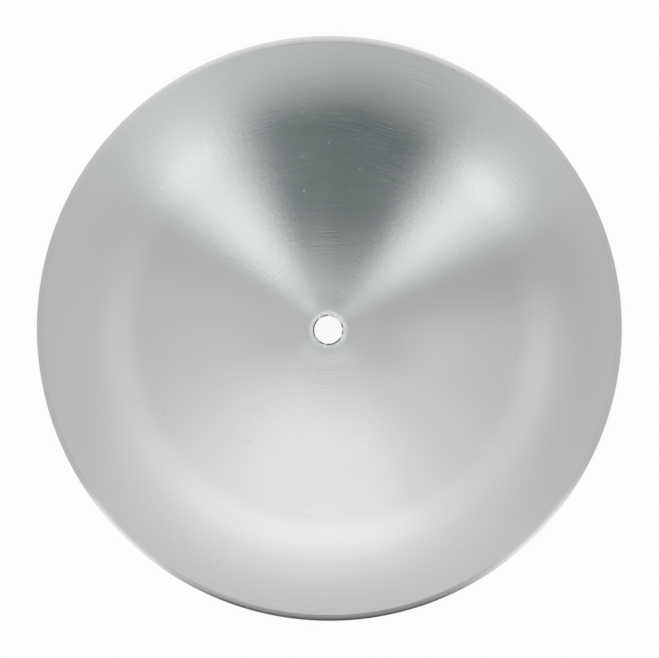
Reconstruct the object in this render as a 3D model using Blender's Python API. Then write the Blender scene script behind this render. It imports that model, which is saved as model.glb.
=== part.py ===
"""Bell cymbal: one thick disc of aluminium, formed to a shallow bell with a turned-out brim.

The instrument is a single piece of metal with a hole for the stand's post. Here it lies as it would
on a bench: crown up, brim on the surface, its axis on +Z and the origin on the axis at the surface.

The outer face is drawn by its slope. Between the flat seat round the hole and the flat brim the slope
grows over the crown, grows more slowly down the flank and then dies away through the flare. The height
of the bell sets how steep that is. The inner face runs one plate's thickness inside the outer, and the
closed section is turned about +Z.
"""

import math

import bmesh
import bpy

# Driving dimensions, in metres
RIM_DIAMETER = 0.254
BELL_HEIGHT = 0.028
PLATE = 0.004

HOLE_DIAMETER = 0.012
HOLE_BEVEL_WIDTH = 0.0019
HOLE_BEVEL_DROP = 0.0006
HOLE_EDGE_RADIUS = 0.0004
HOLE_UNDER_CHAMFER = 0.0005

SEAT_WIDTH = 0.0032
DISH_WIDTH = 0.0063
FLANK_WIDTH = 0.0226
FLARE_WIDTH = 0.0424
BRIM_WIDTH = 0.0022

RIM_BEVEL_WIDTH = 0.0024
RIM_BEVEL_DROP = 0.0019
RIM_EDGE_RADIUS = 0.0005
RIM_UNDER_CHAMFER = 0.0003

# Slopes, as shares of the steepest slope on the bell
DISH_SLOPE = 0.27
CROWN_SLOPE = 0.91
STEEPEST_SLOPE = 1.0

# How quickly the slope settles at the end of a stretch: a higher power settles sooner
CROWN_POWER = 1.4
FLARE_POWER = 1.5
SMOOTH_POWER = 2.0

# How finely the round shapes are cut into flat faces
TURNS = 96
CURVE_STEP = 0.005
EDGE_STEPS = 3
SLOPE_SAMPLES = 400
SHARP_ANGLE = math.radians(35)


def level(share):
    """No change along the stretch."""
    return 0.0


def evenly(share):
    """From 0 to 1, at the same rate all the way."""
    return share


def early(share):
    """From 0 to 1, quick at first and settling at the end."""
    return 1 - (1 - share) ** CROWN_POWER


def eased(share, power=SMOOTH_POWER):
    """From 0 to 1, slow at both ends."""
    return 1 - (1 - share) ** power * (1 + power * share)


def flaring(share):
    """From 0 to 1, slow at both ends and quickest in the first half."""
    return eased(share, FLARE_POWER)


def stretches():
    """The outer face's stretches from the hole to the rim: where each ends, its slope there and how.

    The seat and the dish are set from the hole, and the flank, flare and brim from the rim, so the
    crown between them takes up any change of diameter.
    """
    seat = HOLE_DIAMETER / 2 + HOLE_BEVEL_WIDTH + SEAT_WIDTH
    brim = RIM_DIAMETER / 2 - RIM_BEVEL_WIDTH - BRIM_WIDTH
    flare = brim - FLARE_WIDTH
    return [
        ("seat", seat, 0.0, level),
        ("dish", seat + DISH_WIDTH, DISH_SLOPE, eased),
        ("crown", flare - FLANK_WIDTH, CROWN_SLOPE, early),
        ("flank", flare, STEEPEST_SLOPE, evenly),
        ("flare", brim, 0.0, flaring),
    ]


def slope_share(radius, runs):
    """The outer face's slope at a radius, as a share of the steepest."""
    start, slope = 0.0, 0.0
    for _, end, end_slope, easing in runs:
        if radius <= end:
            share = (radius - start) / (end - start)
            return slope + (end_slope - slope) * easing(share)
        start, slope = end, end_slope
    return 0.0


def cut_radii(runs):
    """The radii where the outer face gets a point: the ends of each stretch, and between on curves."""
    radii = [runs[0][1]]
    for _, end, _, _ in runs[1:]:
        start = radii[-1]
        steps = math.ceil((end - start) / CURVE_STEP)
        radii += [start + (end - start) * i / steps for i in range(1, steps + 1)]
    return radii


def fall(start, end, runs):
    """The sum of the slope's shares from one radius to another."""
    width = (end - start) / SLOPE_SAMPLES
    return width * sum(slope_share(start + (i + 0.5) * width, runs) for i in range(SLOPE_SAMPLES))


def outer_face():
    """(radius, height, slope) along the outer face, from the seat's outer edge to the brim."""
    runs = stretches()
    radii = cut_radii(runs)
    falls = [0.0]
    for start, end in zip(radii, radii[1:]):
        falls.append(falls[-1] + fall(start, end, runs))
    steepest = (BELL_HEIGHT - PLATE) / falls[-1]
    return [
        (radius, BELL_HEIGHT - steepest * fallen, steepest * slope_share(radius, runs))
        for radius, fallen in zip(radii, falls)
    ]


def inner_face(outer):
    """The inner face, one plate's thickness inside the outer and listed from the brim to the seat."""
    points = []
    for radius, height, slope in reversed(outer):
        lean = math.atan(slope)
        points.append((radius - PLATE * math.sin(lean), height - PLATE * math.cos(lean)))
    return points


def bevelled_edge(wall, outward, top, width, drop, edge_radius):
    """A bevel from a flat face at height top down to an upright wall, with a rounded lower corner.

    outward is 1 at the rim, where the metal ends away from the axis, and -1 at the hole.
    """
    slant = math.atan2(drop, width)
    centre_radius = wall - outward * edge_radius
    centre_height = top - drop + edge_radius * (math.tan(slant) - 1 / math.cos(slant))
    points = [(wall - outward * width, top)]
    for i in range(EDGE_STEPS + 1):
        turn = (math.pi / 2 - slant) * (1 - i / EDGE_STEPS)
        across = outward * edge_radius * math.cos(turn)
        points.append((centre_radius + across, centre_height + edge_radius * math.sin(turn)))
    return points


def section():
    """The closed section as (radius, height) points: up the hole, out to the rim and back inside."""
    hole = HOLE_DIAMETER / 2
    rim = RIM_DIAMETER / 2
    under_crown = BELL_HEIGHT - PLATE
    outer = outer_face()
    hole_edge = bevelled_edge(
        hole, -1, BELL_HEIGHT, HOLE_BEVEL_WIDTH, HOLE_BEVEL_DROP, HOLE_EDGE_RADIUS
    )
    rim_edge = bevelled_edge(rim, 1, PLATE, RIM_BEVEL_WIDTH, RIM_BEVEL_DROP, RIM_EDGE_RADIUS)
    points = [(hole, under_crown + HOLE_UNDER_CHAMFER)]
    points += reversed(hole_edge)
    points += [(radius, height) for radius, height, _ in outer]
    points += rim_edge
    points += [(rim, RIM_UNDER_CHAMFER), (rim - RIM_UNDER_CHAMFER, 0.0)]
    points += inner_face(outer)
    points.append((hole + HOLE_UNDER_CHAMFER, under_crown))
    return points


def satin_aluminium():
    """Turned aluminium with a satin surface."""
    material = bpy.data.materials.new("satin_aluminium")
    material.use_nodes = True
    shader = material.node_tree.nodes["Principled BSDF"]
    shader.inputs["Base Color"].default_value = (0.62, 0.64, 0.65, 1.0)
    shader.inputs["Metallic"].default_value = 1.0
    shader.inputs["Roughness"].default_value = 0.4
    return material


def turned(name, points, material):
    """A solid made by turning a closed section once about +Z."""
    shape = bmesh.new()
    corners = [shape.verts.new((radius, 0.0, height)) for radius, height in points]
    edges = [shape.edges.new(pair) for pair in zip(corners, corners[1:] + corners[:1])]
    bmesh.ops.spin(
        shape, geom=corners + edges, axis=(0, 0, 1), angle=math.tau, steps=TURNS, use_merge=True
    )
    bmesh.ops.recalc_face_normals(shape, faces=shape.faces)
    mesh = bpy.data.meshes.new(name)
    shape.to_mesh(mesh)
    shape.free()
    mesh.shade_smooth()
    mesh.set_sharp_from_angle(angle=SHARP_ANGLE)
    mesh.materials.append(material)
    solid = bpy.data.objects.new(name, mesh)
    bpy.context.scene.collection.objects.link(solid)
    return solid


def clear_scene():
    """Removes every object that the scene starts with."""
    for item in list(bpy.data.objects):
        bpy.data.objects.remove(item, do_unlink=True)


def build():
    """Makes the cymbal, the only piece that the instrument has."""
    clear_scene()
    turned("bell_cymbal", section(), satin_aluminium())
    steepest = max(slope for _, _, slope in outer_face())
    print(f"steepest place on the bell: {math.degrees(math.atan(steepest)):.1f} degrees")


build()
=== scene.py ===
# %% [markdown]
# A bell cymbal in satin aluminium
#
# The instrument is one thick disc of aluminium with a hole for the stand's post. A maker forms the disc
# to a shallow bell, turns its rim and its hole on a lathe, and then brushes it while it spins, so that
# every mark on it runs round the axis. Seen from above it shows no parts and hardly an outline: what
# makes it look real is how its finish spreads the light of the studio. The lesson turns a fine mesh
# from the bell's section, gives it four finishes, and then builds the studio that it reflects.

import math

import bpy
import numpy as np
from mathutils import Matrix, Vector, noise


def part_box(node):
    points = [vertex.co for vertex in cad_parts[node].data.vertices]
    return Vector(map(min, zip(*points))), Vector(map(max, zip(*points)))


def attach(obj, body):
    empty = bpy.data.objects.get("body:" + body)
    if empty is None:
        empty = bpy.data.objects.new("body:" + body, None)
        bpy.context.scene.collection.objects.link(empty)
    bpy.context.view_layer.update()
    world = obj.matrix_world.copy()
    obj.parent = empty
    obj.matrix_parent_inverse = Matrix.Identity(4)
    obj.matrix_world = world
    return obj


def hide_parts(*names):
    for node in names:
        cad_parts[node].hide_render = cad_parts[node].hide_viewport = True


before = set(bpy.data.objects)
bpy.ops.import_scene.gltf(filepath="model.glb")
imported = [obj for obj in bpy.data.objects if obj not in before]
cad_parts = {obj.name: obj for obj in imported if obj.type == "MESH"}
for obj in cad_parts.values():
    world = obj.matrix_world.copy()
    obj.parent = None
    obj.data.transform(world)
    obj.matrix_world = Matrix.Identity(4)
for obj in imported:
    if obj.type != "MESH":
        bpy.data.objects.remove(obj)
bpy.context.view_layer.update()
low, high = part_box("bell_cymbal")
RIM_RADIUS = min(high.x, high.y, -low.x, -low.y)
BELL_HEIGHT = high.z - low.z
print(f"bell: {2000 * RIM_RADIUS:.1f} mm across and {1000 * BELL_HEIGHT:.1f} mm high")

# %% [markdown]
# The section
#
# The real bell is the same all round, so its whole shape is in its section: half of a slice through the
# axis. A drawn outline of many points would do, but it would hold no reasons. Here the outer face is
# drawn by its slope instead, because slope is what a bright surface shows. The punch that made the hole
# left a low shoulder round it, and a slight dip outside that. From there the slope grows over the crown,
# grows more slowly down the flank and dies away through the flare, until the brim lies almost flat.
# Every size is in metres. The slopes, their powers and the width of the flare were not drawn by eye: a
# least-squares search fitted the bell's shading to the photograph's, and its results were rounded.

# %% Name the sizes of the section
MM = 0.001
PLATE = 4 * MM

HOLE_RADIUS = 6 * MM
HOLE_BEVEL_WIDTH = 1.9 * MM
HOLE_BEVEL_DROP = 0.35 * MM
HOLE_UNDER_CHAMFER = 0.5 * MM

SEAT_WIDTH = 0.7 * MM
SHOULDER_WIDTH = 5.8 * MM
DIP_WIDTH = 3.0 * MM
FLANK_WIDTH = 20.6 * MM
FLARE_WIDTH = 45.9 * MM
BRIM_WIDTH = 0.3 * MM

RIM_BEVEL_WIDTH = 2.8 * MM
RIM_UNDER_CHAMFER = 0.3 * MM

SEAT_RADIUS = HOLE_RADIUS + HOLE_BEVEL_WIDTH + SEAT_WIDTH
BRIM_RADIUS = RIM_RADIUS - RIM_BEVEL_WIDTH - BRIM_WIDTH
UNDER_CROWN = BELL_HEIGHT - PLATE
print(f"face from {SEAT_RADIUS / MM:.1f} to {BRIM_RADIUS / MM:.1f} mm from the axis")

# %% Say how the slope changes along the face
SHOULDER_SLOPE = 0.272
DIP_SLOPE = 0.234
CROWN_SLOPE = 0.893
STEEPEST_SLOPE = 1.0
BRIM_SLOPE = 0.109
SHOULDER_POWER = 2.5
CROWN_POWER = 1.5
FLARE_POWER = 1.75


def level(share):
    """No change along the stretch."""
    return 0.0


def evenly(share):
    """From 0 to 1, at the same rate all the way."""
    return share


def early(share, power=CROWN_POWER):
    """From 0 to 1, quick at first and settling at the end."""
    return 1 - (1 - share) ** power


def rising(share):
    """From 0 to 1, very quick at first."""
    return early(share, SHOULDER_POWER)


def eased(share, power=2.0):
    """From 0 to 1, slow at both ends."""
    return 1 - (1 - share) ** power * (1 + power * share)


def flaring(share):
    """From 0 to 1, slow at both ends and quickest in the first half."""
    return eased(share, FLARE_POWER)


SHOULDER_RADIUS = SEAT_RADIUS + SHOULDER_WIDTH
FLARE_START = BRIM_RADIUS - FLARE_WIDTH
STRETCHES = [
    ("seat", SEAT_RADIUS, 0.0, level),
    ("shoulder", SHOULDER_RADIUS, SHOULDER_SLOPE, rising),
    ("dip", SHOULDER_RADIUS + DIP_WIDTH, DIP_SLOPE, eased),
    ("crown", FLARE_START - FLANK_WIDTH, CROWN_SLOPE, early),
    ("flank", FLARE_START, STEEPEST_SLOPE, evenly),
    ("flare", BRIM_RADIUS, BRIM_SLOPE, flaring),
]


def slope_share(radius):
    """The face's slope at a radius, as a share of the steepest."""
    start, slope = 0.0, 0.0
    for _, end, end_slope, easing in STRETCHES:
        if radius <= end:
            return slope + (end_slope - slope) * easing((radius - start) / (end - start))
        start, slope = end, end_slope
    return 0.0


# %% Follow the slope down the face
FACE_STEP = 0.75 * MM


def outer_face():
    """(radius, height, lean) along the face, from the seat's edge to the brim."""
    steps = math.ceil((BRIM_RADIUS - SEAT_RADIUS) / FACE_STEP)
    width = (BRIM_RADIUS - SEAT_RADIUS) / steps
    radii = [SEAT_RADIUS + width * i for i in range(steps + 1)]
    falls = [0.0]
    for radius in radii[:-1]:
        falls.append(falls[-1] + width * slope_share(radius + width / 2))
    steepest = UNDER_CROWN / falls[-1]
    leans = [math.atan(steepest * slope_share(radius)) for radius in radii]
    return [(r, BELL_HEIGHT - steepest * fallen, lean) for r, fallen, lean in zip(radii, falls, leans)]


FACE = outer_face()
steepest_lean = max(lean for _, _, lean in FACE)
print(f"face of {len(FACE)} points, at most {math.degrees(steepest_lean):.1f} degrees steep")

# %% [markdown]
# The edges
#
# Light picks out a turned edge before anything else. The rim is not a plain chamfer: its bevel starts at
# a crisp line and is bowed all the way, leaning more and more until it rolls over into the upright edge.
# A flat bevel would reflect one shade, where the real one runs from grey to dark or to white. The hole
# was deburred by hand, so its edge is softer, and it wanders a little. Each corner gets a small arc,
# because no real corner is sharp, and an arc is worked out from the lean at its two ends. The rim
# bevel's two leans come from a search of the same kind.

# %% Make arcs and rounded corners
ARC_STEPS = 6


def arc(start, lean, end_lean, radius, steps):
    """Points outward and down from a start, on an arc whose lean goes from one angle to another."""
    points = []
    for i in range(steps + 1):
        turned_to = lean + (end_lean - lean) * i / steps
        outward = radius * (math.sin(turned_to) - math.sin(lean))
        down = radius * (math.cos(lean) - math.cos(turned_to))
        points.append((start[0] + outward, start[1] - down))
    return points


def rounded(before, corner, after, setback, steps=ARC_STEPS):
    """Points round a corner, starting and ending at a setback from it along its two sides."""
    corner = Vector(corner)
    first = corner + (Vector(before) - corner).normalized() * setback
    last = corner + (Vector(after) - corner).normalized() * setback
    shares = [i / steps for i in range(steps + 1)]
    return [tuple(first * (1 - t) ** 2 + corner * 2 * t * (1 - t) + last * t ** 2) for t in shares]


print("helpers for arcs and corners are ready")

# %% Draw the rim's bevel and the hole's edge
BEVEL_START_LEAN = math.radians(30.8)
BEVEL_END_LEAN = math.radians(38.9)
BEVEL_STEPS = 12
RIM_ROLL_RADIUS = 0.13 * MM
RIM_CREASE_SETBACK = 0.05 * MM
HOLE_CREASE_SETBACK = 0.6 * MM
HOLE_ROLL_SETBACK = 0.35 * MM
HOLE_BEVEL_SHARES = (0.35, 0.5, 0.65)
SMALL_SETBACK = 0.1 * MM


def rim_edge():
    """From the flat brim over the bowed bevel and its roll to the foot of the rim's upright edge."""
    crease = (RIM_RADIUS - RIM_BEVEL_WIDTH, PLATE)
    bowed_width = RIM_BEVEL_WIDTH - RIM_ROLL_RADIUS * (1 - math.sin(BEVEL_END_LEAN))
    bend = bowed_width / (math.sin(BEVEL_END_LEAN) - math.sin(BEVEL_START_LEAN))
    bevel = arc(crease, BEVEL_START_LEAN, BEVEL_END_LEAN, bend, BEVEL_STEPS)
    roll = arc(bevel[-1], BEVEL_END_LEAN, math.pi / 2, RIM_ROLL_RADIUS, ARC_STEPS)
    foot = (RIM_RADIUS, RIM_UNDER_CHAMFER)
    under = (RIM_RADIUS - RIM_UNDER_CHAMFER, 0.0)
    points = rounded((BRIM_RADIUS, PLATE), crease, bevel[1], RIM_CREASE_SETBACK)
    points += bevel[1:] + roll[1:]
    points += rounded(roll[-1], foot, under, SMALL_SETBACK)
    return points


def hole_edge():
    """From the foot of the hole's wall up over its bevel to the seat."""
    foot = (HOLE_RADIUS, UNDER_CROWN + HOLE_UNDER_CHAMFER)
    under = (HOLE_RADIUS + HOLE_UNDER_CHAMFER, UNDER_CROWN)
    corner = (HOLE_RADIUS, BELL_HEIGHT - HOLE_BEVEL_DROP)
    crease = (HOLE_RADIUS + HOLE_BEVEL_WIDTH, BELL_HEIGHT)
    points = rounded(under, foot, corner, SMALL_SETBACK)
    points += rounded(foot, corner, crease, HOLE_ROLL_SETBACK)
    points += [tuple(Vector(corner).lerp(crease, share)) for share in HOLE_BEVEL_SHARES]
    points += rounded(corner, crease, (SEAT_RADIUS, BELL_HEIGHT), HOLE_CREASE_SETBACK)
    return points


print(f"rim edge of {len(rim_edge())} points, hole edge of {len(hole_edge())} points")

# %% Close the section
UNDER_STEP = 2


def inner_face():
    """The inner face, one plate's thickness inside the outer and listed from the brim to the seat."""
    chosen = FACE[::-UNDER_STEP]
    if chosen[-1] is not FACE[0]:
        chosen.append(FACE[0])
    return [(r - PLATE * math.sin(lean), height - PLATE * math.cos(lean)) for r, height, lean in chosen]


def underside():
    """From the chamfer under the rim to the chamfer under the hole."""
    under_rim = (RIM_RADIUS - RIM_UNDER_CHAMFER, 0.0)
    under_hole = (HOLE_RADIUS + HOLE_UNDER_CHAMFER, UNDER_CROWN)
    inner = inner_face()
    hole_foot = (HOLE_RADIUS, UNDER_CROWN + HOLE_UNDER_CHAMFER)
    middle = tuple(Vector(under_rim).lerp(inner[0], 0.5))
    points = rounded((RIM_RADIUS, RIM_UNDER_CHAMFER), under_rim, (BRIM_RADIUS, 0.0), SMALL_SETBACK)
    points += [middle] + inner
    points += rounded(inner[-1], under_hole, hole_foot, SMALL_SETBACK)
    return points


PARTS_OF_SECTION = [
    ("deburred_hole_edge", hole_edge()),
    ("brushed_face", [(r, height) for r, height, _ in FACE]),
    ("turned_rim", rim_edge()),
    ("turned_underside", underside()),
]
SECTION = [point for _, points in PARTS_OF_SECTION for point in points]
FINISH_OF_EDGE = [place for place, (_, points) in enumerate(PARTS_OF_SECTION) for _ in points]
print(f"section of {len(SECTION)} points in {len(PARTS_OF_SECTION)} finishes")

# %% [markdown]
# Turning the mesh
#
# A Screw modifier could turn the section, but the mesh needs three things that it can't give: a finish
# for each stretch of the section, a hole edge that wanders, and a flat map for the finish. The map is
# worth the trouble: its U runs round the axis and its V along the section, so that brush marks lie
# straight along it and the spread of the reflection follows them. So the rings of points are laid down
# in code, and each ring is joined to the next with four-sided faces.

# %% Let the hand-cut edge of the hole wander
WANDER = 0.1 * MM
WANDER_CENTRE = HOLE_RADIUS + HOLE_BEVEL_WIDTH
WANDER_REACH = 1.4 * MM
WANDER_TURNS = (1.3, 3.7)


def wandered(radius, height, angle):
    """Moves a radius near the edge of the hole's bevel a little in or out, by angle."""
    near = max(0.0, 1 - abs(radius - WANDER_CENTRE) / WANDER_REACH)
    if near == 0 or height < UNDER_CROWN + PLATE / 2:
        return radius
    slow, quick = (
        noise.noise(Vector((math.cos(angle) * turns, math.sin(angle) * turns, turns)))
        for turns in WANDER_TURNS
    )
    return radius + WANDER * near * (slow + quick)


# %% Turn the section once round the axis
TURNS = 288


def turned(name, section, finish_of_edge, finishes):
    """A closed mesh turned from a section, with a finish for each edge and a map laid along it."""
    rings = len(section)
    angles = [math.tau * turn / TURNS for turn in range(TURNS)]
    corners = []
    for radius, height in section:
        for angle in angles:
            reach = wandered(radius, height, angle)
            corners.append((reach * math.cos(angle), reach * math.sin(angle), height))
    lengths = [math.dist(a, b) for a, b in zip(section, section[1:] + section[:1])]
    along = np.concatenate([[0.0], np.cumsum(lengths)]) / sum(lengths)
    faces, flat = [], []
    for ring in range(rings):
        here, there = ring * TURNS, (ring + 1) % rings * TURNS
        for turn in range(TURNS):
            onward = (turn + 1) % TURNS
            faces.append((here + turn, there + turn, there + onward, here + onward))
            left, right = turn / TURNS, (turn + 1) / TURNS
            flat += [left, along[ring], left, along[ring + 1], right, along[ring + 1], right, along[ring]]
    mesh = bpy.data.meshes.new(name)
    mesh.from_pydata(corners, [], faces)
    mesh.uv_layers.new(name="OFBake").data.foreach_set("uv", flat)
    for finish in finishes:
        mesh.materials.append(finish)
    mesh.polygons.foreach_set("material_index", [finish for finish in finish_of_edge for _ in angles])
    mesh.shade_smooth()
    mesh.update()
    solid = bpy.data.objects.new(name, mesh)
    bpy.context.scene.collection.objects.link(solid)
    return solid


# %% [markdown]
# Small tools for shader nodes
#
# Every finish here is worked out by nodes, so a few short helpers keep the cells readable. One adds a
# node and sets or links its inputs, one does a sum, one eases a value from one level to another, and one
# mixes two colours. Two more start a node group with named sockets and place it. A group is built once
# and can then be placed in any material with its own values.

# %% Add nodes, sums and groups in one line each
def node(tree, kind, inputs=None, **settings):
    """Adds a node. Each input takes a plain value, or the output socket that feeds it."""
    made = tree.nodes.new("ShaderNode" + kind)
    for name, value in settings.items():
        setattr(made, name, value)
    for key, value in (inputs or {}).items():
        if isinstance(value, bpy.types.NodeSocket):
            tree.links.new(value, made.inputs[key])
        else:
            made.inputs[key].default_value = value
    return made


def maths(tree, operation, *values):
    """The output of one Math node."""
    return node(tree, "Math", dict(enumerate(values)), operation=operation).outputs[0]


def ramp(tree, value, start, end, low_value=0.0, high_value=1.0):
    """A value eased from one level to another between a start and an end."""
    limits = {"Value": value, 1: start, 2: end, 3: low_value, 4: high_value}
    return node(tree, "MapRange", limits, interpolation_type="SMOOTHSTEP").outputs[0]


def blend(tree, share, first, second):
    """Two colours mixed by a share."""
    mix = node(tree, "Mix", {"Factor": share, 6: first, 7: second}, data_type="RGBA")
    return mix.outputs[2]


def at_size(tree, size):
    """The place on the object, counted in steps of a size."""
    place_vector = node(tree, "TexCoord").outputs["Object"]
    steps_per_metre = maths(tree, "DIVIDE", 1.0, size)
    scaled = node(tree, "VectorMath", {0: place_vector, "Scale": steps_per_metre}, operation="SCALE")
    return scaled.outputs[0]


def start_group(name, inputs, outputs):
    """A new node group: its tree, where its inputs come in and where its outputs go out."""
    tree = bpy.data.node_groups.new(name, "ShaderNodeTree")
    for label, default in inputs.items():
        socket = tree.interface.new_socket(label, in_out="INPUT", socket_type="NodeSocketFloat")
        socket.default_value = default
    for label in outputs:
        tree.interface.new_socket(label, in_out="OUTPUT", socket_type="NodeSocketFloat")
    return tree, tree.nodes.new("NodeGroupInput").outputs, tree.nodes.new("NodeGroupOutput").inputs


def place(tree, group, **inputs):
    """The outputs of a group placed in a tree. An underscore in an input's name stands for a space."""
    values = {label.replace("_", " "): value for label, value in inputs.items()}
    return node(tree, "Group", values, node_tree=group).outputs


print("node helpers are ready")

# %% [markdown]
# Marks that run round the axis
#
# Brushing on a spinning wheel leaves thousands of short scratches, each a piece of a circle. A noise
# that is stretched along one axis would give straight ones. Here the noise is read at a place whose
# third number is the distance along the section, counted very finely, while the first two are the place
# itself, counted coarsely. Neighbouring rings then differ a lot and neighbouring angles hardly at all,
# and there is no seam, because nothing is unrolled.

# %% Build the group that says where a point is
tree, given, result = start_group("place_on_bell", {}, ["Radius", "Along"])
place_vector = node(tree, "TexCoord").outputs["Object"]
flat_place = node(tree, "VectorMath", {0: place_vector, 1: (1.0, 1.0, 0.0)}, operation="MULTIPLY")
radius_here = node(tree, "VectorMath", {0: flat_place.outputs[0]}, operation="LENGTH").outputs["Value"]
height_here = node(tree, "SeparateXYZ", {0: place_vector}).outputs["Z"]
tree.links.new(radius_here, result["Radius"])
tree.links.new(maths(tree, "SUBTRACT", radius_here, height_here), result["Along"])
PLACE_ON_BELL = tree
print("group place_on_bell is ready")

# %% Build the group for brush marks
tree, given, result = start_group(
    "brush_marks", {"Mark Length": 16 * MM, "Mark Width": 0.4 * MM, "Detail": 2.0}, ["Marks"]
)
where = node(tree, "Group", node_tree=PLACE_ON_BELL).outputs
place_parts = node(tree, "SeparateXYZ", {0: node(tree, "TexCoord").outputs["Object"]}).outputs
stretched = node(
    tree,
    "CombineXYZ",
    {
        "X": maths(tree, "DIVIDE", place_parts["X"], given["Mark Length"]),
        "Y": maths(tree, "DIVIDE", place_parts["Y"], given["Mark Length"]),
        "Z": maths(tree, "DIVIDE", where["Along"], given["Mark Width"]),
    },
)
marks = node(
    tree,
    "TexNoise",
    {"Vector": stretched.outputs[0], "Scale": 1.0, "Detail": given["Detail"], "Roughness": 0.55},
)
tree.links.new(marks.outputs["Fac"], result["Marks"])
BRUSH_MARKS = tree
print("group brush_marks is ready")

# %% [markdown]
# Grain, specks, clouds and rings
#
# Four more effects get a group each. Satin grain is the fine unevenness that the brush leaves across
# its marks, and it shows as a stipple wherever bright turns to dark. Specks are pits in the metal and
# lint on it. Clouds are the wide soft patches that handling leaves. A ring band is a mask by distance
# from the axis, for what the lathe or a felt washer does at one radius.

# %% Build the group for satin grain
tree, given, result = start_group("satin_grain", {"Grain Size": 0.8 * MM}, ["Grain"])
scaled = at_size(tree, given["Grain Size"])
grain = node(tree, "TexNoise", {"Vector": scaled, "Scale": 1.0, "Detail": 1.5, "Roughness": 0.6})
tree.links.new(grain.outputs["Fac"], result["Grain"])
SATIN_GRAIN = tree
print("group satin_grain is ready")

# %% Build the group for specks
tree, given, result = start_group(
    "specks", {"Spacing": 3 * MM, "Size": 0.3 * MM, "Share": 0.3}, ["Mask", "Tone"]
)
scaled = at_size(tree, given["Spacing"])
cells = node(tree, "TexVoronoi", {"Vector": scaled, "Scale": 1.0}, voronoi_dimensions="2D")
chance = node(tree, "SeparateColor", {0: cells.outputs["Color"]}).outputs
reach = maths(tree, "MULTIPLY", maths(tree, "DIVIDE", given["Size"], given["Spacing"]), chance["Green"])
dot = ramp(tree, cells.outputs["Distance"], maths(tree, "MULTIPLY", reach, 0.5), reach, 1.0, 0.0)
chosen = maths(tree, "LESS_THAN", chance["Red"], given["Share"])
tree.links.new(maths(tree, "MULTIPLY", dot, chosen), result["Mask"])
tree.links.new(chance["Blue"], result["Tone"])
SPECKS = tree
print("group specks is ready")

# %% Build the group for clouds
NOISE_LOW = 0.35
NOISE_HIGH = 0.65
tree, given, result = start_group("soft_clouds", {"Cloud Size": 50 * MM}, ["Tint", "Dullness"])
scaled = at_size(tree, given["Cloud Size"])
clouds = node(tree, "TexNoise", {"Vector": scaled, "Scale": 1.0, "Detail": 2.0, "Roughness": 0.5})
parts = node(tree, "SeparateColor", {0: clouds.outputs["Color"]}).outputs
tree.links.new(ramp(tree, parts["Red"], NOISE_LOW, NOISE_HIGH), result["Tint"])
tree.links.new(ramp(tree, parts["Green"], NOISE_LOW, NOISE_HIGH), result["Dullness"])
SOFT_CLOUDS = tree
print("group soft_clouds is ready")

# %% Build the group for a band at one radius
tree, given, result = start_group(
    "ring_band", {"Radius": 16 * MM, "Half Width": 1 * MM, "Softness": 1 * MM}, ["Mask"]
)
where = node(tree, "Group", node_tree=PLACE_ON_BELL).outputs
off_centre = maths(tree, "ABSOLUTE", maths(tree, "SUBTRACT", where["Radius"], given["Radius"]))
outer_end = maths(tree, "ADD", given["Half Width"], given["Softness"])
tree.links.new(ramp(tree, off_centre, given["Half Width"], outer_end, 1.0, 0.0), result["Mask"])
RING_BAND = tree
print("group ring_band is ready")

# %% [markdown]
# The four finishes
#
# All four are the same bare metal, so they share one way of starting: a metallic Principled BSDF whose
# reflection is spread across the brush marks. The Tangent node points it round the axis, and a quarter
# turn of Anisotropic Rotation lays the wide side of the spread along the radius. That spread is why the
# real bell shows bright and dark fans that reach into the hole. It is the same all over, so it
# is set on the shader itself, and only colour, roughness and height are painted by nodes.

# %% Start a bare metal and give it its height
MICRON = 0.001 * MM
QUARTER_TURN = 0.25


def bare_metal(name, spread):
    """A metal whose reflection spreads across the brush marks: its material, its tree and its shader."""
    material = bpy.data.materials.new(name)
    material.use_nodes = True
    tree = material.node_tree
    shader = tree.nodes["Principled BSDF"]
    shader.inputs["Metallic"].default_value = 1.0
    shader.inputs["Anisotropic"].default_value = spread
    shader.inputs["Anisotropic Rotation"].default_value = QUARTER_TURN
    round_axis = node(tree, "Tangent", direction_type="RADIAL", axis="Z")
    tree.links.new(round_axis.outputs[0], shader.inputs["Tangent"])
    return material, tree, shader


def raise_by(tree, shader, microns):
    """Lets a height in microns tilt the surface."""
    bump = node(tree, "Bump", {"Strength": 1.0, "Distance": MICRON, "Height": microns})
    tree.links.new(bump.outputs[0], shader.inputs["Normal"])


def weighted(tree, weights, effects):
    """A sum of effects, each counted from its middle and times the weight of its name."""
    total = 0.0
    for name, weight in weights.items():
        part = maths(tree, "MULTIPLY", maths(tree, "SUBTRACT", effects[name], 0.5), weight)
        total = maths(tree, "ADD", part, total)
    return total


def kept(tree, effect, share):
    """An effect that keeps only a share of its strength on either side of its middle."""
    return maths(tree, "MULTIPLY_ADD", maths(tree, "SUBTRACT", effect, 0.5), share, 0.5)


print("bare metal is ready")
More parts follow.
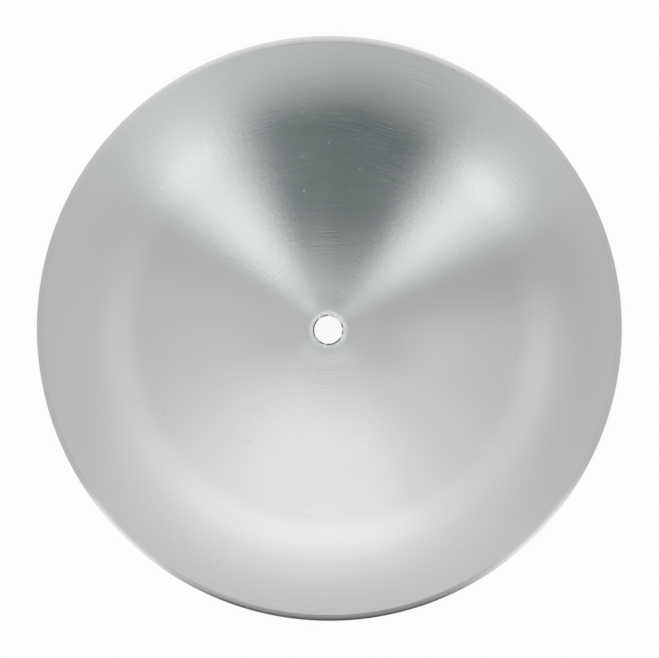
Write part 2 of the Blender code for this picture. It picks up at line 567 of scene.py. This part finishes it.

# %% [markdown]
# The brushed face
#
# This is what the photograph is full of. Long and short brush marks tilt the metal by less than a degree,
# so they only show where the reflection changes fast. They come in patches, and they are deeper on the
# crown. The metal leans to a cool grey, with wide clouds. One band past the flank is buffed smoother, and
# its colour is painted paler there as painted light. A felt washer has sat on the crown and left a faint
# ring. Of the few specks, most are pale lint and the rest are dark pits. The weights below say how many
# microns each effect raises the metal, and by how much it dulls it.

# %% Finish the brushed face
METAL_GREY = (0.706, 0.705, 0.705, 1.0)
METAL_COOL = (0.697, 0.699, 0.700, 1.0)
# Painted light: a paler colour for the band past the flank.
METAL_PAINTED_LIGHT = (0.740, 0.739, 0.739, 1.0)
PIT_DARK = (0.50, 0.51, 0.51, 1.0)
LINT_PALE = (0.90, 0.91, 0.91, 1.0)
PIT_SHARE = 0.3
SPECK_TINT = 0.12
FELT_RING = 16.5 * MM
BUFFED_AND_LIT_RING = 91.5 * MM
PAINTED_LIGHT_TINT = 0.4
CROWN_DEPTH = 1.35
CROWN_MARKS_END = 46 * MM
FLANK_MARKS_START = 62 * MM
FINE_MARKS_LEAST = 0.35
FACE_SPREAD = 0.89
FACE_ROUGHNESS = 0.273
FACE_DULLING = {
    "clouds": 0.02,
    "felt": 0.02,
    "grain": 0.03,
    "buffing": -0.024,
    "lint": 0.07,
    "fine marks": 0.05,
    "long marks": 0.06,
}
MARK_MICRONS = {"grain": 14.0, "fine marks": 16.0, "long marks": 46.0}
DENT_MICRONS = {"specks": -3.0, "felt": -2.0}


def brushed_face():
    """Satin aluminium, brushed round the axis."""
    material, tree, shader = bare_metal("brushed_face", FACE_SPREAD)
    fine = place(tree, BRUSH_MARKS, Mark_Length=4 * MM, Mark_Width=0.9 * MM, Detail=1.0)["Marks"]
    long = place(tree, BRUSH_MARKS, Mark_Length=15 * MM, Mark_Width=0.9 * MM, Detail=1.0)["Marks"]
    specks = place(tree, SPECKS, Spacing=12 * MM, Size=0.9 * MM, Share=0.16)
    clouds = place(tree, SOFT_CLOUDS, Cloud_Size=55 * MM)
    patches = place(tree, SOFT_CLOUDS, Cloud_Size=18 * MM)
    buffed_and_lit = place(tree, RING_BAND, Radius=BUFFED_AND_LIT_RING, Half_Width=2 * MM, Softness=9 * MM)["Mask"]
    radius = node(tree, "Group", node_tree=PLACE_ON_BELL).outputs["Radius"]
    is_lint = maths(tree, "GREATER_THAN", specks["Tone"], PIT_SHARE)
    effects = {
        "clouds": clouds["Dullness"],
        "felt": place(tree, RING_BAND, Radius=FELT_RING, Half_Width=0.6 * MM, Softness=1.6 * MM)["Mask"],
        "grain": place(tree, SATIN_GRAIN, Grain_Size=1.9 * MM)["Grain"],
        "buffing": buffed_and_lit,
        "specks": specks["Mask"],
        "lint": maths(tree, "MULTIPLY", specks["Mask"], is_lint),
        "fine marks": kept(tree, fine, ramp(tree, patches["Tint"], 0.0, 1.0, FINE_MARKS_LEAST, 1.0)),
        "long marks": kept(tree, long, ramp(tree, patches["Dullness"], 0.5, 1.0)),
    }

    colour = blend(tree, clouds["Tint"], METAL_GREY, METAL_COOL)
    # Painted light: the band past the flank is painted paler, where it is also smoother.
    colour = blend(tree, maths(tree, "MULTIPLY", buffed_and_lit, PAINTED_LIGHT_TINT), colour, METAL_PAINTED_LIGHT)
    speck_colour = blend(tree, is_lint, PIT_DARK, LINT_PALE)
    colour = blend(tree, maths(tree, "MULTIPLY", specks["Mask"], SPECK_TINT), colour, speck_colour)
    tree.links.new(colour, shader.inputs["Base Color"])

    dulled = weighted(tree, FACE_DULLING, effects)
    tree.links.new(maths(tree, "ADD", dulled, FACE_ROUGHNESS), shader.inputs["Roughness"])

    depth = ramp(tree, radius, CROWN_MARKS_END, FLANK_MARKS_START, CROWN_DEPTH, 1.0)
    dents = weighted(tree, DENT_MICRONS, effects)
    relief = weighted(tree, MARK_MICRONS, effects)
    raise_by(tree, shader, maths(tree, "MULTIPLY_ADD", relief, depth, dents))
    return material


face_finish = brushed_face()
print(f"{face_finish.name} has {len(face_finish.node_tree.nodes)} nodes")

# %% [markdown]
# The turned rim
#
# The bevel was cut with a pointed tool, so its marks are finer and sharper than the brush's, and its
# reflection spreads less. Handling has polished the crisp line where the bevel starts, here and there, so
# it is smoother there, and a thin pale line is painted along it as a painted highlight.

# %% Finish the turned rim
RIM_METAL = (0.700, 0.703, 0.700, 1.0)
# Painted highlight: a paler colour along the worn crease of the bevel.
RIM_PAINTED_GLINT = (0.78, 0.785, 0.785, 1.0)
RIM_SPREAD = 0.15
RIM_ROUGHNESS = 0.17
RIM_DULLING = {"marks": 0.08, "grain": 0.05, "clouds": 0.04, "wear_and_glint": -0.06}
RIM_MICRONS = {"marks": 1.6, "grain": 1.2}


def turned_rim():
    """The bevel and upright edge, cut on the lathe."""
    material, tree, shader = bare_metal("turned_rim", RIM_SPREAD)
    clouds = place(tree, SOFT_CLOUDS, Cloud_Size=25 * MM)["Dullness"]
    crease_radius = RIM_RADIUS - RIM_BEVEL_WIDTH
    crease = place(tree, RING_BAND, Radius=crease_radius, Half_Width=0.05 * MM, Softness=0.2 * MM)["Mask"]
    effects = {
        "marks": place(tree, BRUSH_MARKS, Mark_Length=60 * MM, Mark_Width=0.22 * MM, Detail=1.0)["Marks"],
        "grain": place(tree, SATIN_GRAIN, Grain_Size=0.6 * MM)["Grain"],
        "clouds": clouds,
        "wear_and_glint": maths(tree, "MULTIPLY", crease, clouds),
    }

    # Painted highlight: the colour is paler where the crease is worn smooth.
    tree.links.new(blend(tree, effects["wear_and_glint"], RIM_METAL, RIM_PAINTED_GLINT), shader.inputs["Base Color"])

    dulled = weighted(tree, RIM_DULLING, effects)
    tree.links.new(maths(tree, "ADD", dulled, RIM_ROUGHNESS), shader.inputs["Roughness"])

    raise_by(tree, shader, weighted(tree, RIM_MICRONS, effects))
    return material


rim_finish = turned_rim()
print(f"{rim_finish.name} has {len(rim_finish.node_tree.nodes)} nodes")

# %% [markdown]
# The deburred edge of the hole
#
# This bevel was broken by hand with a file or abrasive after the brushing, so it is matt, mottled and
# the same pale grey from every side, and it fades into the brushed face where the file lifted off. Where
# it rolls over into the hole, a dark line of painted shade runs round it in pieces, with one wide gap at
# the upper right, towards the light, and a few dark ticks lie outside. Half of the shader is metal and
# half is not, because a matt scratched surface is pale in whatever light falls on it.

# %% Finish the edge of the hole
HOLE_METAL = (0.935, 0.955, 0.948, 1.0)
HOLE_SHADE = (0.785, 0.805, 0.797, 1.0)
HOLE_METALLIC = 0.5
HOLE_FADE_START = 8.1 * MM
HOLE_FADE_END = 9.0 * MM
HOLE_FADE_WANDER = 0.8 * MM
# Painted shade: a near-black for the line at the hole's corner, also used for the dark ticks.
SHADE_AND_TICK_DARK = (0.08, 0.085, 0.085, 1.0)
SHADE_LINE_RADIUS = HOLE_RADIUS + 0.28 * MM
SHADE_BREAK_END = 0.05
SHADE_BREAK_START = 0.6
SHADE_GAP_TOWARD = (0.67, 0.74, 0.0)
SHADE_GAP_START = 5.5 * MM
SHADE_GAP_FULL = 6.0 * MM
TICK_RADIUS = HOLE_RADIUS + 2.1 * MM
TICK_START = 0.62
TICK_FULL = 0.70
TICK_STRENGTH = 0.5
HOLE_ROUGHNESS = 0.44
HOLE_DULLING = {"mottle": 0.12, "grain": 0.1, "fade": -0.20}
HOLE_MICRONS = {"mottle": 22.0, "grain": 8.0}


def painted_shade_line(tree):
    """Where painted shade darkens the hole's corner: in pieces, and not in the gap towards the light."""
    line = place(tree, RING_BAND, Radius=SHADE_LINE_RADIUS, Half_Width=0.17 * MM, Softness=0.15 * MM)["Mask"]
    breaks = place(tree, SOFT_CLOUDS, Cloud_Size=4 * MM)["Tint"]
    in_pieces = ramp(tree, breaks, SHADE_BREAK_END, SHADE_BREAK_START)
    place_vector = node(tree, "TexCoord").outputs["Object"]
    toward = node(tree, "VectorMath", {0: place_vector, 1: SHADE_GAP_TOWARD}, operation="DOT_PRODUCT")
    outside_gap = ramp(tree, toward.outputs["Value"], SHADE_GAP_START, SHADE_GAP_FULL, 1.0, 0.0)
    return maths(tree, "MULTIPLY", line, maths(tree, "MULTIPLY", outside_gap, in_pieces))


def deburred_hole_edge():
    """The hole's bevel and wall, broken by hand."""
    material, tree, shader = bare_metal("deburred_hole_edge", 0.0)
    shader.inputs["Metallic"].default_value = HOLE_METALLIC
    mottle = place(tree, SATIN_GRAIN, Grain_Size=1.3 * MM)["Grain"]
    grain = place(tree, SATIN_GRAIN, Grain_Size=0.5 * MM)["Grain"]
    radius = node(tree, "Group", node_tree=PLACE_ON_BELL).outputs["Radius"]
    uneven = maths(tree, "MULTIPLY_ADD", mottle, HOLE_FADE_WANDER, radius)
    fade = ramp(tree, uneven, HOLE_FADE_START, HOLE_FADE_END)
    ticks = place(tree, RING_BAND, Radius=TICK_RADIUS, Half_Width=0.1 * MM, Softness=0.2 * MM)["Mask"]
    ticks = maths(tree, "MULTIPLY", ticks, ramp(tree, grain, TICK_START, TICK_FULL, 0.0, TICK_STRENGTH))

    colour = blend(tree, ramp(tree, mottle, NOISE_LOW, NOISE_HIGH), HOLE_SHADE, HOLE_METAL)
    colour = blend(tree, fade, colour, METAL_GREY)
    # Painted shade at the hole's corner, and the dark ticks, in one near-black colour.
    colour = blend(tree, maths(tree, "MAXIMUM", painted_shade_line(tree), ticks), colour, SHADE_AND_TICK_DARK)
    tree.links.new(colour, shader.inputs["Base Color"])

    effects = {"mottle": mottle, "grain": grain, "fade": fade}
    dulled = weighted(tree, HOLE_DULLING, effects)
    tree.links.new(maths(tree, "ADD", dulled, HOLE_ROUGHNESS), shader.inputs["Roughness"])

    raise_by(tree, shader, weighted(tree, HOLE_MICRONS, effects))
    return material


hole_finish = deburred_hole_edge()
print(f"{hole_finish.name} has {len(hole_finish.node_tree.nodes)} nodes")

# %% [markdown]
# The underside
#
# Nobody sees the inside of the bell when it is played, so such bells are left as turned: coarser marks,
# a duller shine and more stains from handling.

# %% Finish the underside
UNDER_METAL = (0.62, 0.628, 0.63, 1.0)
UNDER_STAINED = (0.595, 0.60, 0.596, 1.0)
UNDER_SPREAD = 0.75
UNDER_ROUGHNESS = 0.34
UNDER_DULLING = {"marks": 0.12, "fine marks": 0.06, "clouds": 0.06}
UNDER_MICRONS = {"marks": 9.0, "fine marks": 5.0, "grain": 3.0}


def turned_underside():
    """The inner face, left as turned."""
    material, tree, shader = bare_metal("turned_underside", UNDER_SPREAD)
    clouds = place(tree, SOFT_CLOUDS, Cloud_Size=40 * MM)
    long = place(tree, BRUSH_MARKS, Mark_Length=70 * MM, Mark_Width=0.7 * MM, Detail=2.0)
    fine = place(tree, BRUSH_MARKS, Mark_Length=12 * MM, Mark_Width=0.4 * MM, Detail=2.0)
    effects = {
        "marks": long["Marks"],
        "fine marks": fine["Marks"],
        "grain": place(tree, SATIN_GRAIN, Grain_Size=0.8 * MM)["Grain"],
        "clouds": clouds["Dullness"],
    }

    tree.links.new(blend(tree, clouds["Tint"], UNDER_METAL, UNDER_STAINED), shader.inputs["Base Color"])

    dulled = weighted(tree, UNDER_DULLING, effects)
    tree.links.new(maths(tree, "ADD", dulled, UNDER_ROUGHNESS), shader.inputs["Roughness"])

    raise_by(tree, shader, weighted(tree, UNDER_MICRONS, effects))
    return material


under_finish = turned_underside()
print(f"{under_finish.name} has {len(under_finish.node_tree.nodes)} nodes")

# %% [markdown]
# The bell itself
#
# The fine mesh stands in for the faceted solid of the frame, in the same place and at the same size. A
# Weighted Normal modifier lets the wide faces decide how the small arcs beside them are shaded, so that
# the face and the brim keep their own slope up to their corners.

# %% Turn the bell and put it in the frame
FINISHES = {
    "brushed_face": face_finish,
    "turned_rim": rim_finish,
    "deburred_hole_edge": hole_finish,
    "turned_underside": under_finish,
}
bell = turned("satin_bell", SECTION, FINISH_OF_EDGE, [FINISHES[name] for name, _ in PARTS_OF_SECTION])
smoother = bell.modifiers.new("flat faces lead the shading", "WEIGHTED_NORMAL")
smoother.mode = "FACE_AREA"
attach(bell, "root")
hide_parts("bell_cymbal")
print(f"bell of {len(bell.data.polygons)} faces")

# %% [markdown]
# The studio
#
# A bright metal is a picture of the room round it. This one seems to have lain on a white table under
# two large soft boxes at its far side, with an unlit gap between them, and with a white scrim at the
# near side. The gap is the dark fan above the hole, and the boxes are the two bright fans beside it.
# Lamps could stand for the boxes, but their edges would be hard, so the world itself is painted by
# direction: a plain soft sky, and then one panel after another in front of it, each with soft sides. A
# few panels lie below the horizon, for the inside of the bell: the table hides them from everything
# above it.
#
# The numbers of the sky, the upper panels and the horizon panels were not chosen by hand. They are what
# a least-squares search printed when it fitted the bell's shading to the photograph's, rounded to half
# degrees and hundredths, with a few levels lowered or tinted. Other rooms could give the same
# picture. Only the floor panels were set one by one.

# %% Build the group that says which way a ray goes
tree, given, result = start_group("way_out", {}, ["From Zenith", "Bearing"])
way = node(tree, "SeparateXYZ", {0: node(tree, "TexCoord").outputs["Generated"]}).outputs
tree.links.new(maths(tree, "DEGREES", maths(tree, "ARCCOSINE", way["Z"])), result["From Zenith"])
tree.links.new(maths(tree, "DEGREES", maths(tree, "ARCTAN2", way["X"], way["Y"])), result["Bearing"])
WAY_OUT = tree
print("group way_out is ready")

# %% Build the group for a soft panel of light
tree, given, result = start_group(
    "soft_panel",
    {
        "Bearing": 0.0,
        "Half Width": 20.0,
        "Side Softness": 20.0,
        "Top Start": 0.0,
        "Top End": 30.0,
        "Foot Start": 60.0,
        "Foot End": 80.0,
    },
    ["Mask"],
)
way = node(tree, "Group", node_tree=WAY_OUT).outputs
turned_from = maths(tree, "SUBTRACT", way["Bearing"], given["Bearing"])
aside = maths(tree, "ABSOLUTE", maths(tree, "WRAP", turned_from, 180.0, -180.0))
half_soft = maths(tree, "MULTIPLY", given["Side Softness"], 0.5)
side_start = maths(tree, "SUBTRACT", given["Half Width"], half_soft)
side_end = maths(tree, "ADD", given["Half Width"], half_soft)
sides = ramp(tree, aside, side_start, side_end, 1.0, 0.0)
top = ramp(tree, way["From Zenith"], given["Top Start"], given["Top End"])
foot = ramp(tree, way["From Zenith"], given["Foot Start"], given["Foot End"], 1.0, 0.0)
tree.links.new(maths(tree, "MULTIPLY", sides, maths(tree, "MULTIPLY", top, foot)), result["Mask"])
SOFT_PANEL = tree
print("group soft_panel is ready")

# %% Paint the studio on the world
WHITE = (1.0, 1.0, 1.0, 1.0)


def grey(value, coolness=0.0):
    """A grey, or a cool one with a little less red."""
    return (value, value + coolness, value + coolness, 1.0)


SKY_ZENITH = grey(0.69, 0.015)
SKY_MIDDLE = grey(0.20)
SKY_LOW = grey(0.30)
MIDDLE_ANGLE = 39.0
LOW_ANGLE = 62.0
HORIZON = grey(0.66)
HORIZON_FOOT = grey(0.635)
HORIZON_START = 57.0
HORIZON_FULL = 62.0
GROUND_START = 64.0
GROUND_ANGLE = 90.0

# Each panel: its colour and, in degrees, its bearing, its half width, the softness of its sides and
# the angles from the zenith where its top and its foot fade
UPPER_PANELS = {
    "near scrim": (grey(1.48), 182.5, 47.5, 64, 0, 43.5, 49, 53),
    "right wall": (grey(0.93), 115.5, 40.5, 59, 20.5, 24.5, 39.5, 50.5),
    "left wall": (grey(1.20, 0.02), 254, 54.5, 103, 0, 55, 40, 49),
    "right box": (grey(1.235, 0.065), 34.5, 27, 24, 10, 31, 52, 56),
    "left box": (grey(1.14, 0.06), 333, 27, 16, 1, 27, 56, 68),
    "unlit gap": (grey(0.0, 0.03), 3.5, 31.5, 26, 4, 36.5, 55.5, 67.5),
}
HORIZON_PANELS = {
    "far wall": (grey(1.09), 359, 48, 60, 59, 81.5, 95, 100),
    "low table": (grey(0.43), 175.5, 20, 30, 52, 56, 95, 100),
    "right corner": (grey(1.47), 137, 10.5, 14.5, 61.5, 85.5, 95, 100),
    "left corner": (grey(1.36), 224.5, 9.5, 6, 62, 86, 95, 100),
    "dark doorway": (grey(0.0), 181, 25, 15.5, 73.5, 77.5, 95, 100),
}

FLOOR_SHADE = grey(0.34)
FLOOR_START = 100.0
FLOOR_END = 170.0
FLOOR_PANELS = {
    "floor box": (grey(1.25), 330, 34, 50, 104, 126, 152, 174),
    "second floor box": (grey(1.05), 100, 30, 50, 104, 126, 152, 174),
    "dark floor": (grey(0.12), 215, 26, 40, 106, 128, 152, 174),
}


def hang(tree, panels, colour):
    """Panels of light hung in front of a colour, one after another."""
    for shade, middle, half, softness, top_start, top_end, foot_start, foot_end in panels.values():
        mask = place(
            tree,
            SOFT_PANEL,
            Bearing=middle,
            Half_Width=half,
            Side_Softness=softness,
            Top_Start=top_start,
            Top_End=top_end,
            Foot_Start=foot_start,
            Foot_End=foot_end,
        )["Mask"]
        colour = blend(tree, mask, colour, shade)
    return colour


def painted_world():
    """The studio as the metal sees it, and plain white as the camera sees it."""
    world = bpy.data.worlds.new("soft_studio")
    world.use_nodes = True
    tree = world.node_tree
    tree.nodes.clear()
    from_zenith = node(tree, "Group", node_tree=WAY_OUT).outputs["From Zenith"]
    sky = blend(tree, ramp(tree, from_zenith, 0.0, MIDDLE_ANGLE), SKY_ZENITH, SKY_MIDDLE)
    sky = blend(tree, ramp(tree, from_zenith, MIDDLE_ANGLE, LOW_ANGLE), sky, SKY_LOW)
    colour = hang(tree, UPPER_PANELS, sky)
    horizon = blend(tree, ramp(tree, from_zenith, GROUND_START, GROUND_ANGLE), HORIZON, HORIZON_FOOT)
    colour = blend(tree, ramp(tree, from_zenith, HORIZON_START, HORIZON_FULL), colour, horizon)
    colour = hang(tree, HORIZON_PANELS, colour)
    colour = blend(tree, ramp(tree, from_zenith, FLOOR_START, FLOOR_END), colour, FLOOR_SHADE)
    colour = hang(tree, FLOOR_PANELS, colour)
    seen = node(tree, "LightPath").outputs["Is Camera Ray"]
    colour = blend(tree, seen, colour, WHITE)
    background = node(tree, "Background", {"Color": colour, "Strength": 1.0})
    output = node(tree, "OutputWorld")
    tree.links.new(background.outputs[0], output.inputs["Surface"])
    return world


bpy.context.scene.world = painted_world()
print(f"studio of {len(UPPER_PANELS) + len(HORIZON_PANELS) + len(FLOOR_PANELS)} panels")

# %% [markdown]
# The table
#
# The table is white paper that takes a faint shadow. Its white comes from a glow that only the camera
# and the reflections see, so the metal mirrors a white table and gets no other light from it. From below
# it is clear, and so is a ring of it that the bell covers, so that the inside of the bell can be looked
# at and reflects a floor, as it does when the bell hangs on its stand.

# %% Lay the table
TABLE_HALF = 6.0
TABLE_DROP = 0.2 * MM
TABLE_GLOW = 0.916
TABLE_PAPER = (0.10, 0.10, 0.10, 1.0)
CLEAR_RING = 66 * MM
CLEAR_HALF_WIDTH = 50 * MM
CLEAR_SOFTNESS = 1 * MM


def white_table():
    """Paper that glows to the camera and to reflections, and takes a little shadow."""
    material = bpy.data.materials.new("white_table")
    material.use_nodes = True
    tree = material.node_tree
    tree.nodes.clear()
    paper = node(tree, "BsdfDiffuse", {"Color": TABLE_PAPER})
    rays = node(tree, "LightPath").outputs
    seen = maths(tree, "MAXIMUM", rays["Is Camera Ray"], rays["Is Glossy Ray"])
    seen = maths(tree, "MAXIMUM", seen, rays["Is Transmission Ray"])
    strength = maths(tree, "MULTIPLY", seen, TABLE_GLOW)
    glow = node(tree, "Emission", {"Color": WHITE, "Strength": strength})
    lit = node(tree, "AddShader", {0: paper.outputs[0], 1: glow.outputs[0]})
    clear = node(tree, "BsdfTransparent")
    from_below = node(tree, "NewGeometry").outputs["Backfacing"]
    under_bell = place(
        tree, RING_BAND, Radius=CLEAR_RING, Half_Width=CLEAR_HALF_WIDTH, Softness=CLEAR_SOFTNESS
    )["Mask"]
    left_clear = maths(tree, "MAXIMUM", from_below, under_bell)
    sheet = node(tree, "MixShader", {0: left_clear, 1: lit.outputs[0], 2: clear.outputs[0]})
    output = node(tree, "OutputMaterial")
    tree.links.new(sheet.outputs[0], output.inputs["Surface"])
    return material


mesh = bpy.data.meshes.new("table")
corner_signs = ((-1, -1), (1, -1), (1, 1), (-1, 1))
mesh.from_pydata([(x * TABLE_HALF, y * TABLE_HALF, 0) for x, y in corner_signs], [], [(0, 1, 2, 3)])
mesh.materials.append(white_table())
table = bpy.data.objects.new("table", mesh)
table.location.z = -TABLE_DROP
bpy.context.scene.collection.objects.link(table)
print("table laid")

# %% [markdown]
# The camera
#
# The photograph looks straight down through a long lens, from a little to the right of the axis and a
# little towards the top of the picture: the hole, which is higher than the rim, sits a pixel left of the
# disc's centre and a pixel below it. The distance is free, and a long one matches the even shading.
# The lens then follows from how many pixels the disc takes up.

# %% Set up the camera
IMAGE_WIDTH = 659
DISC_PIXELS = 2 * 292.68
SENSOR_WIDTH = 36.0
CAMERA_HEIGHT = 3.0
CAMERA_ASIDE = Vector((0.047, 0.063, 0.0))
AIM = Vector((0.12 * MM, -0.195 * MM, 0.0))


def looking_down(position, target):
    """The matrix of a camera at a position that looks at a target, with +Y up in the picture."""
    ahead = (target - position).normalized()
    right = ahead.cross(Vector((0, 1, 0))).normalized()
    up = right.cross(ahead)
    return Matrix.Translation(position) @ Matrix((right, up, -ahead)).transposed().to_4x4()


lens = bpy.data.cameras.new("long_lens")
lens.sensor_width = SENSOR_WIDTH
rim_distance = CAMERA_HEIGHT - PLATE / 2
picture_width = 2 * RIM_RADIUS * IMAGE_WIDTH / DISC_PIXELS
lens.lens = SENSOR_WIDTH * rim_distance / picture_width
camera = bpy.data.objects.new("camera", lens)
bpy.context.scene.collection.objects.link(camera)
camera.matrix_world = looking_down(CAMERA_ASIDE + Vector((0, 0, CAMERA_HEIGHT)), AIM)
bpy.context.scene.camera = camera
bpy.context.scene.view_settings.view_transform = "Standard"
print(f"lens of {lens.lens:.0f} mm, {CAMERA_HEIGHT} m above the table")
